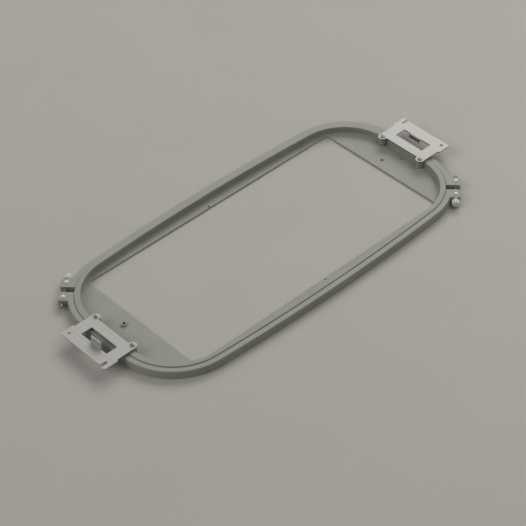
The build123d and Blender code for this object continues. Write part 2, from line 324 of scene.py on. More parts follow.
def outline_point(n, outline, spot, number):
    """X, Y and Z of an outline's point, by its number."""
    inputs = {"Geometry": outline, "Value": spot, "Index": number}
    sample = n.add("GeometryNodeSampleIndex", inputs, data_type="FLOAT_VECTOR", domain="POINT")
    return n.add("ShaderNodeSeparateXYZ", {0: sample.outputs[0]}).outputs


def stored(n, mesh, name, value, data_type, domain):
    """Mesh that keeps a value under a name, for its material."""
    inputs = {"Geometry": mesh, "Name": name, "Value": value}
    node = n.add("GeometryNodeStoreNamedAttribute", inputs, data_type=data_type, domain=domain)
    return node.outputs[0]


def rolled_up(n, mesh, radius, turn, height):
    """Grid rolled round Z, its seam closed and its faces turned outwards."""
    place = n.vector(
        n.math("MULTIPLY", radius, n.math("COSINE", turn)),
        n.math("MULTIPLY", radius, n.math("SINE", turn)),
        height,
    )
    moved = n.add("GeometryNodeSetPosition", {"Geometry": mesh, "Position": place}).outputs[0]
    inputs = {"Geometry": moved, "Distance": 2 * SAME_POINT}
    closed = n.add("GeometryNodeMergeByDistance", inputs).outputs[0]
    return n.add("GeometryNodeFlipFaces", {"Mesh": closed}).outputs[0]


def placed(n, geometry, place, turn=(0, 0, 0)):
    """Geometry turned and moved to its place."""
    inputs = {"Geometry": geometry, "Translation": place, "Rotation": turn}
    return n.add("GeometryNodeTransform", inputs).outputs[0]


def cut(n, body, tool):
    """Body with a tool's shape taken out of it."""
    node = n.add("GeometryNodeMeshBoolean", {0: body, 1: tool}, operation="DIFFERENCE", solver="EXACT")
    return node.outputs[0]


def finished_tree(n, given, result, body):
    """Tree whose instances are made real and whose material is set."""
    real = n.add("GeometryNodeRealizeInstances", {0: body}).outputs[0]
    inputs = {0: real, "Material": given["Material"]}
    n.put(result[0], n.add("GeometryNodeSetMaterial", inputs).outputs[0])
    return n.tree


def flute_floor(n, given, turn):
    """Distance from Z to the floor of the nearest flute, or one metre between two flutes."""
    reach = n.math("SUBTRACT", n.math("ADD", given["Radius"], given["Flute Radius"]), given["Flute Depth"])
    step = n.math("DIVIDE", math.tau, given["Flutes"])
    offset = n.math("WRAP", turn, n.math("MULTIPLY", step, 0.5), n.math("MULTIPLY", step, -0.5))
    across = n.math("MULTIPLY", reach, n.math("SINE", offset))
    square = n.math("POWER", given["Flute Radius"], 2)
    room = n.math("SUBTRACT", square, n.math("MULTIPLY", across, across))
    inside = n.math("GREATER_THAN", room, 0)
    along = n.math("MULTIPLY", reach, n.math("COSINE", offset))
    near = n.math("SUBTRACT", along, n.math("SQRT", n.math("MAXIMUM", room, 0)))
    return n.math("ADD", n.math("MULTIPLY", near, inside), n.math("SUBTRACT", 1, inside))


def turned_tree(name, flutes=False, bore=False, recess=False, pair=False):
    """Tree that turns an outline about Z, and may flute it, bore it across, recess it and copy it."""
    inputs = [("Outline", "NodeSocketGeometry", None), ("Material", "NodeSocketMaterial", None)]
    inputs += number_inputs(radius=10 * MM, length=10 * MM, sides=64)
    if flutes:
        inputs += number_inputs(flutes=8, flute_radius=1 * MM, flute_depth=0.5 * MM)
    if bore:
        inputs += number_inputs(bore_radius=2 * MM, bore_height=5 * MM)
    if recess:
        inputs += number_inputs(recess_length=3 * MM, recess_width=0.7 * MM, recess_depth=1 * MM)
    if pair:
        inputs += number_inputs(pitch=60 * MM)
    n, given, result = group_tree(name, "GeometryNodeTree", inputs, ("Geometry",))
    count = n.add("GeometryNodeAttributeDomainSize", {0: given["Outline"]}, component="MESH").outputs[0]
    grid, spot, row, share = unrolled_grid(n, count, given["Sides"])
    turn = n.math("MULTIPLY", share, math.tau)
    outline = outline_point(n, given["Outline"], spot, row)
    radius = n.math("MULTIPLY", outline["X"], given["Radius"])
    height = n.math("MULTIPLY", outline["Z"], given["Length"])
    if flutes:
        radius = n.math("MINIMUM", radius, flute_floor(n, given, turn))
    body = stored(n, grid, "UVMap", n.vector(share, outline["Y"]), "FLOAT2", "CORNER")
    body = rolled_up(n, body, radius, turn, height)
    if bore:
        through = n.math("MULTIPLY", given["Radius"], 4)
        size = {"Vertices": 48, "Radius": given["Bore Radius"], "Depth": through}
        drill = n.add("GeometryNodeMeshCylinder", size).outputs[0]
        body = cut(n, body, placed(n, drill, n.vector(0, 0, given["Bore Height"]), (0, math.pi / 2, 0)))
    if recess:
        length, width = given["Recess Length"], given["Recess Width"]
        deep = n.math("MULTIPLY", given["Recess Depth"], 2)
        top = n.vector(0, 0, given["Length"])
        for size in (n.vector(length, width, deep), n.vector(width, length, deep)):
            arm = n.add("GeometryNodeMeshCube", {"Size": size}).outputs[0]
            body = cut(n, body, placed(n, arm, top))
    if pair:
        line = n.add(
            "GeometryNodeMeshLine",
            {
                "Count": 2,
                "Start Location": n.vector(0, n.math("MULTIPLY", given["Pitch"], -0.5), 0),
                "Offset": n.vector(0, given["Pitch"], 0),
            },
        ).outputs[0]
        body = n.add("GeometryNodeInstanceOnPoints", {"Points": line, "Instance": body}).outputs[0]
    return finished_tree(n, given, result, body)


def threaded_tree(name):
    """Tree that winds a thread form up a rod as one helix, with coned ends and a driving slot."""
    inputs = [("Thread Form", "NodeSocketGeometry", None), ("Material", "NodeSocketMaterial", None)]
    inputs += number_inputs(
        radius=2 * MM,
        length=50 * MM,
        pitch=0.7 * MM,
        thread_depth=0.4 * MM,
        thread_length=40 * MM,
        tip_chamfer=0.5 * MM,
        slot_width=0.8 * MM,
        slot_depth=0.9 * MM,
        sides=40,
    )
    n, given, result = group_tree(name, "GeometryNodeTree", inputs, ("Geometry",))
    form_points, spare_turns, row_guard, end_share = 4, 2, 0.1, 1.12
    turns = n.math("CEIL", n.math("DIVIDE", given["Length"], given["Pitch"]))
    turns = n.math("ADD", turns, spare_turns + 1)
    rows = n.math("ADD", n.math("MULTIPLY", turns, form_points), 2)
    grid, spot, row, share = unrolled_grid(n, rows, given["Sides"])
    turn = n.math("MULTIPLY", share, math.tau)
    form = outline_point(n, given["Thread Form"], spot, n.math("MODULO", row, form_points))
    whole = n.math("FLOOR", n.math("DIVIDE", n.math("ADD", row, row_guard), form_points))
    wound = n.math("SUBTRACT", n.math("ADD", n.math("ADD", whole, form["Z"]), share), spare_turns)
    height = n.math("MULTIPLY", wound, given["Pitch"])
    height = n.math("MINIMUM", n.math("MAXIMUM", height, 0), given["Length"])
    below_shank = n.math("SUBTRACT", given["Thread Length"], height)
    fade = n.math("DIVIDE", below_shank, given["Pitch"], clamp=True)
    hollow = n.math("MULTIPLY", n.math("MULTIPLY", form["X"], given["Thread Depth"]), fade)
    radius = n.math("SUBTRACT", given["Radius"], hollow)
    root = n.math("SUBTRACT", given["Radius"], given["Tip Chamfer"])
    radius = n.math("MINIMUM", radius, n.math("ADD", root, height))
    end_radius = n.math("MULTIPLY", root, end_share)
    below_end = n.math("SUBTRACT", given["Length"], height)
    radius = n.math("MINIMUM", radius, n.math("ADD", end_radius, below_end))
    past_first = n.math("GREATER_THAN", row, 0.5)
    before_last = n.math("LESS_THAN", row, n.math("SUBTRACT", rows, 1.5))
    radius = n.math("MULTIPLY", radius, n.math("MULTIPLY", past_first, before_last))
    run = n.math("DIVIDE", height, given["Length"])
    crest = n.math("SUBTRACT", 1, n.math("MULTIPLY", form["X"], fade))
    rod = stored(n, grid, "UVMap", n.vector(share, run), "FLOAT2", "CORNER")
    rod = stored(n, rod, "thread_crest", crest, "FLOAT", "POINT")
    rod = rolled_up(n, rod, radius, turn, height)
    across, deep = n.math("MULTIPLY", given["Radius"], 3), n.math("MULTIPLY", given["Slot Depth"], 2)
    size = n.vector(across, given["Slot Width"], deep)
    slot = n.add("GeometryNodeMeshCube", {"Size": size}).outputs[0]
    rod = cut(n, rod, placed(n, slot, n.vector(0, 0, given["Length"])))
    return finished_tree(n, given, result, rod)


# Shader groups


def coordinates(n):
    """Object coordinates, in metres."""
    return n.add("ShaderNodeTexCoord").outputs["Object"]


def noise(n, vector, scale, detail=2.0, roughness=0.5):
    """Noise value of a vector at a scale, around one half."""
    inputs = {"Vector": vector, "Scale": scale, "Detail": detail, "Roughness": roughness}
    return n.add("ShaderNodeTexNoise", inputs).outputs[0]


def grain_group():
    """Moulded surface: broad blotches, fine grain and thin handling scuffs."""
    inputs = number_inputs(blotch_scale=18.0, grain_scale=3500.0, scuff_amount=0.4)
    n, given, result = group_tree("Moulded Grain", "ShaderNodeTree", inputs, ("Blotch", "Grain", "Scuff"))
    spot = coordinates(n)
    blotch = noise(n, spot, given["Blotch Scale"], detail=4.0, roughness=0.6)
    n.put(result["Blotch"], n.remap(blotch, 0.32, 0.68))
    n.put(result["Grain"], noise(n, spot, given["Grain Scale"], detail=3.0, roughness=0.65))
    lines = []
    for turn, stretch in ((0.5, (900, 14, 14)), (2.2, (700, 10, 10))):
        bent = n.add(
            "ShaderNodeMapping",
            {"Vector": spot, "Rotation": (0, 0, turn), "Scale": stretch},
            vector_type="POINT",
        ).outputs[0]
        lines.append(n.remap(noise(n, bent, 1.0, detail=1.0), 0.66, 0.74))
    places = n.remap(noise(n, spot, 45.0), 0.5, 0.66)
    scuff = n.math("MULTIPLY", n.math("MAXIMUM", *lines), places)
    n.put(result["Scuff"], n.math("MULTIPLY", scuff, given["Scuff Amount"]))
    return n.tree


def wear_group():
    """Mask of worn edges, from how far the surface turns within a radius, broken up by noise."""
    inputs = number_inputs(radius=0.5 * MM, breakup_scale=260.0)
    n, given, result = group_tree("Edge Wear", "ShaderNodeTree", inputs, ("Edge",))
    soft = n.add("ShaderNodeBevel", {"Radius": given["Radius"]}, samples=6).outputs[0]
    true = n.add("ShaderNodeNewGeometry").outputs["True Normal"]
    flat = n.add("ShaderNodeVectorMath", {0: soft, 1: true}, operation="DOT_PRODUCT").outputs["Value"]
    edge = n.remap(flat, 0.995, 0.86)
    broken = noise(n, coordinates(n), given["Breakup Scale"], detail=3.0)
    patches = n.remap(broken, 0.35, 0.6, 0.35, 1.0)
    n.put(result["Edge"], n.math("MULTIPLY", edge, patches))
    return n.tree


def brushed_group():
    """Fine lines of a brushed sheet, drawn out along Y."""
    inputs = number_inputs(line_scale=2400.0, stretch=0.012)
    n, given, result = group_tree("Brushed Lines", "ShaderNodeTree", inputs, ("Line", "Tone"))
    split = n.add("ShaderNodeSeparateXYZ", {0: coordinates(n)}).outputs
    drawn = n.vector(split["X"], n.math("MULTIPLY", split["Y"], given["Stretch"]), split["Z"])
    n.put(result["Line"], noise(n, drawn, given["Line Scale"], detail=3.0, roughness=0.7))
    broad = n.math("MULTIPLY", given["Line Scale"], 0.12)
    n.put(result["Tone"], n.remap(noise(n, drawn, broad, detail=3.0, roughness=0.6), 0.3, 0.7))
    return n.tree


def turned_group():
    """Fine tool marks round a turned piece, along its own outline."""
    inputs = number_inputs(marks=90.0)
    n, given, result = group_tree("Tool Marks", "ShaderNodeTree", inputs, ("Mark", "Smudge"))
    unrolled = n.add("ShaderNodeUVMap", uv_map="UVMap").outputs[0]
    split = n.add("ShaderNodeSeparateXYZ", {0: unrolled}).outputs
    around = n.vector(n.math("MULTIPLY", split["X"], 0.02), split["Y"], 0)
    n.put(result["Mark"], noise(n, around, given["Marks"], roughness=0.6))
    n.put(result["Smudge"], n.remap(noise(n, coordinates(n), 420.0, detail=3.0), 0.35, 0.65))
    return n.tree


# Materials


def material_nodes(name):
    """New material, its nodes helper and its Principled BSDF."""
    material = bpy.data.materials.new(name)
    material.use_nodes = True
    n = Nodes(material.node_tree)
    return material, n, material.node_tree.nodes["Principled BSDF"]


def group(n, tree, **inputs):
    """A shader group placed in a material."""
    node = n.add("ShaderNodeGroup", node_tree=tree)
    for key, value in titled(inputs).items():
        n.put(node.inputs[key], value)
    return node.outputs


def bump(n, height, strength, distance):
    """Normal bent by a height."""
    inputs = {"Height": height, "Strength": strength, "Distance": distance}
    return n.add("ShaderNodeBump", inputs).outputs[0]


def shade(colour, share):
    """Colour made darker or lighter by a share, and held at white."""
    return [min(1, value * share) for value in colour]


def plastic(name, colour, groups, tint=1.0):
    """Satin moulded plastic with handled, slightly lighter edges."""
    material, n, surface = material_nodes(name)
    base = shade(linear(colour), tint)
    dark, light, scuffed, worn = (shade(base, share) for share in (0.93, 1.05, 1.5, 1.7))
    scuff_share, edge_share, scuff_roughness = 0.5, 0.35, 0.2
    grain = group(n, groups["grain"])
    wear = group(n, groups["wear"], radius=0.6 * MM)
    tone = n.mix(grain["Blotch"], dark, light)
    tone = n.mix(n.math("MULTIPLY", grain["Scuff"], scuff_share), tone, scuffed)
    tone = n.mix(n.math("MULTIPLY", wear["Edge"], edge_share), tone, worn)
    rough = n.remap(grain["Blotch"], 0, 1, 0.6, 0.68)
    rough = n.math("ADD", rough, n.math("MULTIPLY", grain["Scuff"], scuff_roughness))
    n.put(surface.inputs["Base Color"], tone)
    n.put(surface.inputs["Roughness"], rough)
    n.put(surface.inputs["Normal"], bump(n, grain["Grain"], 0.25, 0.04 * MM))
    n.put(surface.inputs["IOR"], 1.48)
    n.put(surface.inputs["Specular IOR Level"], 0.25)
    return material


def sheet_metal(name, colour, groups, top):
    """Stamped sheet steel, brushed along Y, with bright sheared edges and painted shade on the faces
    turned towards the hoop's middle below its top, where the shadow under the plate falls.
    """
    material, n, surface = material_nodes(name)
    base = linear(colour)
    # The last of these colours, 0.12 of the base, is painted shade that stands for the shadow under the
    # plate, not a film on the steel.
    dark, light, bright, painted_shade_colour = (shade(base, share) for share in (0.86, 1.06, 1.35, 0.12))
    edge_share, painted_shade_share = 0.5, 0.85
    painted_shade_start, painted_shade_full = 0.1 * MM, 0.6 * MM
    lines = group(n, groups["brushed"])
    wear = group(n, groups["wear"], radius=0.3 * MM)
    tone = n.mix(lines["Tone"], dark, light)
    tone = n.mix(n.math("MULTIPLY", wear["Edge"], edge_share), tone, bright)
    # Painted shade: faces below the sheet's top that turn towards the hoop's middle, such as the hanging
    # tab, are darkened as if in the plate's shadow.
    spot = n.add("ShaderNodeSeparateXYZ", {0: coordinates(n)}).outputs
    normal = n.add("ShaderNodeNewGeometry").outputs["Normal"]
    facing = n.add("ShaderNodeSeparateXYZ", {0: normal}).outputs
    inwards = n.math("MULTIPLY", n.math("MULTIPLY", n.math("SIGN", spot["X"]), -1), facing["X"])
    below = n.remap(spot["Z"], top - painted_shade_full, top - painted_shade_start, 1.0, 0.0)
    painted_shade_mask = n.math("MULTIPLY", n.remap(inwards, 0.25, 0.6), below)
    tone = n.mix(n.math("MULTIPLY", painted_shade_mask, painted_shade_share), tone, painted_shade_colour)
    n.put(surface.inputs["Base Color"], tone)
    n.put(surface.inputs["Metallic"], 0.15)
    n.put(surface.inputs["Roughness"], n.remap(lines["Line"], 0.3, 0.7, 0.46, 0.6))
    n.put(surface.inputs["Normal"], bump(n, lines["Line"], 0.35, 0.03 * MM))
    return material


def turned_metal(name, colour, rough, groups, metallic=1.0):
    """Turned and plated metal with faint tool marks, smudges and worn edges."""
    material, n, surface = material_nodes(name)
    base = linear(colour)
    smudged, clean, worn_share, worn_lift = shade(base, 0.88), shade(base, 1.05), 1.5, 0.05
    worn = [min(1, value * worn_share + worn_lift) for value in base]
    edge_share, smudge_roughness = 0.3, 0.12
    turned = group(n, groups["turned"])
    wear = group(n, groups["wear"], radius=0.2 * MM, breakup_scale=900.0)
    tone = n.mix(turned["Smudge"], smudged, clean)
    tone = n.mix(n.math("MULTIPLY", wear["Edge"], edge_share), tone, worn)
    n.put(surface.inputs["Base Color"], tone)
    n.put(surface.inputs["Metallic"], metallic)
    n.put(surface.inputs["Roughness"], n.remap(turned["Smudge"], 0, 1, rough, rough + smudge_roughness))
    n.put(surface.inputs["Normal"], bump(n, turned["Mark"], 0.3, 0.02 * MM))
    return material


def threaded_metal(name, colour, groups):
    """Oxidised steel whose thread crests have worn bright."""
    material, n, surface = material_nodes(name)
    base = linear(colour)
    bright, worn_share = shade(base, 2.6), 0.7
    crest = n.add("ShaderNodeAttribute", attribute_name="thread_crest").outputs["Fac"]
    patches = n.remap(noise(n, coordinates(n), 800.0, detail=3.0), 0.35, 0.65)
    worn = n.math("MULTIPLY", n.remap(crest, 0.55, 1.0), patches)
    turned = group(n, groups["turned"], marks=700.0)
    n.put(surface.inputs["Base Color"], n.mix(n.math("MULTIPLY", worn, worn_share), base, bright))
    n.put(surface.inputs["Metallic"], 0.9)
    n.put(surface.inputs["Roughness"], n.remap(worn, 0, 1, 0.42, 0.28))
    n.put(surface.inputs["Normal"], bump(n, turned["Mark"], 0.2, 0.02 * MM))
    return material


def floor_surface(name, colour):
    """Plain pale table top with a faint mottle."""
    material, n, surface = material_nodes(name)
    base = linear(colour)
    spot = coordinates(n)
    mottle = n.remap(noise(n, spot, 9.0, detail=3.0), 0.3, 0.7)
    n.put(surface.inputs["Base Color"], n.mix(mottle, shade(base, 0.985), shade(base, 1.015)))
    n.put(surface.inputs["Roughness"], 0.85)
    n.put(surface.inputs["Specular IOR Level"], 0.2)
    n.put(surface.inputs["Normal"], bump(n, noise(n, spot, 900.0), 0.1, 0.1 * MM))
    return material


# Settings that a user would change


def colour_setting(name, description, colour):
    """Colour property given by its display values, 0 to 255."""
    return FloatVectorProperty(
        name=name,
        description=description,
        default=[value / 255 for value in colour],
        min=0,
        max=1,
        size=3,
        subtype="COLOR_GAMMA",
    )


def length_setting(name, description, millimetres):
    """Length property, given in millimetres."""
    return FloatProperty(
        name=name, description=description, default=millimetres * MM, min=0, unit="LENGTH", precision=5
    )


def angle_setting(name, description, degrees):
    """Angle property, given in degrees."""
    return FloatProperty(
        name=name, description=description, default=math.radians(degrees), unit="ROTATION"
    )


def share_setting(name, description, share):
    """Share property, between none and all."""
    return FloatProperty(name=name, description=description, default=share, min=0, max=1)


class HoopFinish(bpy.types.PropertyGroup):
    """Colours of the hoop's pieces."""

    ring_colour: colour_setting("Rings", "Moulded plastic of both rings", (146, 148, 138))
    plate_colour: colour_setting("Plates", "Brushed steel of the mounting plates", (167, 166, 160))
    bright_colour: colour_setting("Plate screws", "Bright zinc plating", (146, 146, 142))
    pin_colour: colour_setting("Pins", "Satin plating of the barrel pins", (192, 192, 184))
    screw_colour: colour_setting("Clamp screws", "Dark oxidised steel", (138, 138, 134))
    knob_colour: colour_setting("Knobs", "Satin anodised aluminium", (186, 190, 183))
    brass_colour: colour_setting("Inserts", "Turned brass", (206, 176, 112))


class HoopDetail(bpy.types.PropertyGroup):
    """Sizes of the small forms that the CAD frame leaves plain."""

    ring_edge: length_setting("Ring edge", "Rounding of the rings' moulded edges", 0.3)
    ring_foot: length_setting("Ring foot", "Rounding along the foot of the outer ring", 1.4)
    plate_edge: length_setting("Plate edge", "Rounding of the plates' sheared edges", 0.16)
    washer_edge: length_setting("Washer edge", "Rounding of the washers' edges", 0.15)
    recess_length: length_setting("Recess length", "Length of the plate screws' cross recess", 3.1)
    recess_width: length_setting("Recess width", "Width of the recess's arms", 0.75)
    recess_depth: length_setting("Recess depth", "Depth of the recess", 1.1)
    thread_pitch: length_setting("Thread pitch", "Pitch of the clamp screws", 0.7)
    thread_depth: length_setting("Thread depth", "Depth of the clamp screws' thread", 0.38)
    flutes: IntProperty(name="Flutes", description="Grooves round each knob", default=8, min=3)
    flute_radius: length_setting("Flute radius", "Radius of the knob's grooves", 1.1)
    flute_depth: length_setting("Flute depth", "Depth of the knob's grooves", 0.9)
    knob_end: length_setting("Knob end", "Length of the knob's rounded end", 4.6)
    knurls: IntProperty(name="Knurls", description="Teeth round each brass insert", default=28, min=8)


class HoopStudio(bpy.types.PropertyGroup):
    """Camera and light, as seen in the reference view."""

    view_azimuth: angle_setting("View azimuth", "Turn of the camera round the hoop", -41.4094)
    view_elevation: angle_setting("View elevation", "Height of the camera above the horizon", 42.1083)
    view_roll: angle_setting("View roll", "Turn of the camera about its own line of sight", -2.3566)
    view_distance: length_setting("View distance", "From the camera to the point it looks at", 2076.02)
    view_target: FloatVectorProperty(
        name="View target",
        description="Point that the camera looks at",
        default=(-25.546 * MM, -23.012 * MM, 0),
        size=3,
        subtype="XYZ",
        unit="LENGTH",
    )
    lens: FloatProperty(
        name="Lens", description="Focal length of the camera", default=123.82, min=1, unit="CAMERA"
    )
    key_azimuth: angle_setting("Key azimuth", "Turn of the key light from +X towards +Y", 30)
    key_elevation: angle_setting("Key elevation", "Height of the key light above the horizon", 32)
    key_width: length_setting("Key width", "Level side of the key light", 5400)
    key_height: length_setting("Key height", "Upright side of the key light", 2550)
    key_share: share_setting("Key share", "Part of the floor's light that the key gives", 0.4)
    side_azimuth: angle_setting("Side azimuth", "Turn of the side light from +X towards +Y", 150)
    side_elevation: angle_setting("Side elevation", "Height of the side light above the horizon", 38)
    side_size: length_setting("Side size", "Side of the square side light", 3600)
    side_share: share_setting("Side share", "Part of the floor's light that the side light gives", 0.19)
    far_distance: length_setting("Far distance", "From the key and side lights to the hoop", 6000)
    fill_azimuth: angle_setting("Fill azimuth", "Turn of the fill light from +X towards +Y", -38)
    fill_elevation: angle_setting("Fill elevation", "Height of the fill light above the horizon", 55)
    fill_size: length_setting("Fill size", "Side of the square fill light", 700)
    fill_share: share_setting("Fill share", "Part of the floor's light that the fill gives", 0.12)
    fill_distance: length_setting("Fill distance", "From the fill light to the hoop", 1400)
    floor_colour: colour_setting("Floor", "Plain pale table top", (171, 167, 161))


# Pieces


def shared_groups():
    """Shader groups that several materials use, built once."""
    made = {}
    for key, name, build in (
        ("grain", "Moulded Grain", grain_group),
        ("wear", "Edge Wear", wear_group),
        ("brushed", "Brushed Lines", brushed_group),
        ("turned", "Tool Marks", turned_group),
    ):
        made[key] = bpy.data.node_groups.get(name) or build()
    return made


def shown(colour):
    """Display values, 0 to 255, of a colour property."""
    return [value * 255 for value in colour]


class HOOP_OT_rings(bpy.types.Operator):
    """Round over the moulded edges of both rings and give them their plastic"""

    bl_idname = "hoop.rings"
    bl_label = "Rings"

    def execute(self, context):
        finish, detail = context.scene.hoop_finish, context.scene.hoop_detail
        groups = shared_groups()
        outer = plastic("outer ring plastic", shown(finish.ring_colour), groups)
        inner = plastic("inner ring plastic", shown(finish.ring_colour), groups, tint=0.97)
        for node, material, slot, foot in (
            ("outer_ring_front", outer, "outer_ring", detail.ring_foot),
            ("outer_ring_back", outer, "outer_ring", detail.ring_foot),
            ("inner_ring", inner, "inner_ring", 0),
        ):
            dress(node + "_moulded", rounded_copy(node, detail.ring_edge, foot), material, slot, node)
        return {"FINISHED"}


class HOOP_OT_plates(bpy.types.Operator):
    """Break the sheared edges of the mounting plates and brush their faces"""

    bl_idname = "hoop.plates"
    bl_label = "Mounting plates"

    def execute(self, context):
        finish, detail = context.scene.hoop_finish, context.scene.hoop_detail
        colour, top = shown(finish.plate_colour), sheet_top(SIDES[0])
        material = sheet_metal("brushed sheet steel", colour, shared_groups(), top)
        for side in SIDES:
            node = f"{side}_mounting_plate"
            dress(node + "_brushed", rounded_copy(node, detail.plate_edge), material, "plate", node)
        return {"FINISHED"}


class HOOP_OT_plate_screws(bpy.types.Operator):
    """Turn the pan-head screws that hold the plates, two to a plate"""

    bl_idname = "hoop.plate_screws"
    bl_label = "Plate screws"

    def execute(self, context):
        finish, detail = context.scene.hoop_finish, context.scene.hoop_detail
        material = turned_metal("bright plated steel", shown(finish.bright_colour), 0.42, shared_groups())
        tree = turned_tree("Pan-Head Screws", recess=True, pair=True)
        shank, rim, lead = 1.5 * MM, 0.55 * MM, 0.3 * MM
        for side in SIDES:
            node = f"{side}_plate_screws"
            low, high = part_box(node)
            head, length = (high.x - low.x) / 2, high.z - low.z
            seat = sheet_top(side) - low.z
            points = [(0, 0), (shank - lead, 0), (shank, lead), (shank, seat), (head, seat)]
            points += dome(0, head, seat + rim, length, 8)
            points[-1] = (0, length)
            mesh = turned_mesh(
                node,
                tree,
                points,
                sharp=35,
                radius=head,
                length=length,
                sides=48,
                recess_length=detail.recess_length,
                recess_width=detail.recess_width,
                recess_depth=detail.recess_depth,
                pitch=high.y - low.y - 2 * head,
                material=material,
            )
            mesh.transform(Matrix.Translation(foot_centre(node)))
            dress(node + "_turned", mesh, material, "plate_screw", node)
        return {"FINISHED"}


class HOOP_OT_inserts(bpy.types.Operator):
    """Turn and knurl the brass inserts in the bosses under the plates"""

    bl_idname = "hoop.inserts"
    bl_label = "Inserts"

    def execute(self, context):
        finish, detail = context.scene.hoop_finish, context.scene.hoop_detail
        material = turned_metal("turned brass", shown(finish.brass_colour), 0.3, shared_groups())
        tree = turned_tree("Knurled Inserts", flutes=True, pair=True)
        bore, plain, lead, tooth, groove = 1.53 * MM, 0.6 * MM, 0.25 * MM, 0.2 * MM, 0.14 * MM
        for side in SIDES:
            node = f"{side}_plate_inserts"
            low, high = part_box(node)
            radius, length = (high.x - low.x) / 2, high.z - low.z
            core, middle = radius - tooth, length / 2
            points = [
                (bore, 0),
                (core - lead, 0),
                (core, lead),
                (core, plain),
                (radius, plain + lead),
                (radius, middle - plain),
                (core, middle - lead),
                (core, middle + lead),
                (radius, middle + plain),
                (radius, length - plain - lead),
                (core, length - plain),
                (core, length),
                (bore + lead, length),
                (bore, length - lead),
                (bore, 0),
            ]
            mesh = turned_mesh(
                node,
                tree,
                points,
                sharp=30,
                radius=radius,
                length=length,
                sides=4 * detail.knurls,
                flutes=detail.knurls,
                flute_radius=tooth,
                flute_depth=groove,
                pitch=high.y - low.y - 2 * radius,
                material=material,
            )
            mesh.transform(Matrix.Translation(foot_centre(node)))
            dress(node + "_knurled", mesh, material, "insert", node)
        return {"FINISHED"}


class HOOP_OT_clamp_screws(bpy.types.Operator):
    """Wind the threads of the two clamp screws and slot their ends"""

    bl_idname = "hoop.clamp_screws"
    bl_label = "Clamp screws"

    def execute(self, context):
        finish, detail = context.scene.hoop_finish, context.scene.hoop_detail
        material = threaded_metal("oxidised threaded steel", shown(finish.screw_colour), shared_groups())
        tree = threaded_tree("Threaded Rod")
        form = bpy.data.meshes.new("thread form")
        corners = [(1, 0, 0), (0, 0, 0.4), (0, 0, 0.54), (1, 0, 0.92)]
        form.from_pydata(corners, [(0, 1), (1, 2), (2, 3)], [])
        for side in SIDES:
            node = f"{side}_clamp_screw"
            start, end, radius = extent(node, side)
            shank_start = extent(f"{side}_clamp_washer", side)[0]
            mesh = tree_mesh(
                node,
                tree,
                form.copy(),
                radius=radius,
                length=end - start,
                pitch=detail.thread_pitch,
                thread_depth=detail.thread_depth,
                thread_length=shank_start - start,
                material=material,
            )
            crisp(mesh, 30)
            stand(mesh, side, start)
            dress(node + "_threaded", mesh, material, "clamp_screw", node)
        return {"FINISHED"}


class HOOP_OT_knobs(bpy.types.Operator):
    """Turn and flute the two thumb knobs"""

    bl_idname = "hoop.knobs"
    bl_label = "Thumb knobs"

    def execute(self, context):
        finish, detail = context.scene.hoop_finish, context.scene.hoop_detail
        colour, groups = shown(finish.knob_colour), shared_groups()
        material = turned_metal("satin anodised aluminium", colour, 0.58, groups, metallic=0.3)
        tree = turned_tree("Fluted Knob", flutes=True)
        collar, collar_length, collar_ease, grip = 3.8 * MM, 1.2 * MM, 0.2 * MM, 2.02 * MM
        dimple, dimple_depth, end_wall, ease = 0.9 * MM, 0.4 * MM, 1.6 * MM, 0.3 * MM
        for side in SIDES:
            node = f"{side}_clamp_knob"
            start, end, radius = extent(node, side)
            length = end - start
            points = [(grip, 0), (collar - collar_ease, 0), (collar, collar_ease), (collar, collar_length)]
            points += arc((radius - ease, collar_length + ease), ease, -90, 0, 4)
            points += dome(dimple, radius, length - detail.knob_end, length, 12)
            points += [(0, length - dimple_depth), (0, length - end_wall)]
            points += [(grip, length - end_wall), (grip, 0)]
            mesh = turned_mesh(
                node,
                tree,
                points,
                sharp=30,
                radius=radius,
                length=length,
                sides=23 * detail.flutes,
                flutes=detail.flutes,
                flute_radius=detail.flute_radius,
                flute_depth=detail.flute_depth,
                material=material,
            )
            stand(mesh, side, start)
            dress(node + "_fluted", mesh, material, "clamp_knob", node)
        return {"FINISHED"}


class HOOP_OT_washers(bpy.types.Operator):
    """Break the edges of the washers under the knobs"""

    bl_idname = "hoop.washers"
    bl_label = "Washers"

    def execute(self, context):
        finish, detail = context.scene.hoop_finish, context.scene.hoop_detail
        material = turned_metal("plated washer steel", shown(finish.bright_colour), 0.5, shared_groups())
        tree = turned_tree("Washer")
        bore, edge = 2.15 * MM, detail.washer_edge
        for side in SIDES:
            node = f"{side}_clamp_washer"
            start, end, radius = extent(node, side)
            length = end - start
            points = [(bore, edge), (bore + edge, 0), (radius - edge, 0), (radius, edge)]
            points += [(r, length - z) for r, z in reversed(points)]
            points += [points[0]]
            size = {"radius": radius, "length": length, "sides": 64}
            mesh = turned_mesh(node, tree, points, sharp=30, material=material, **size)
            stand(mesh, side, start)
            dress(node + "_turned", mesh, material, "clamp_washer", node)
        return {"FINISHED"}


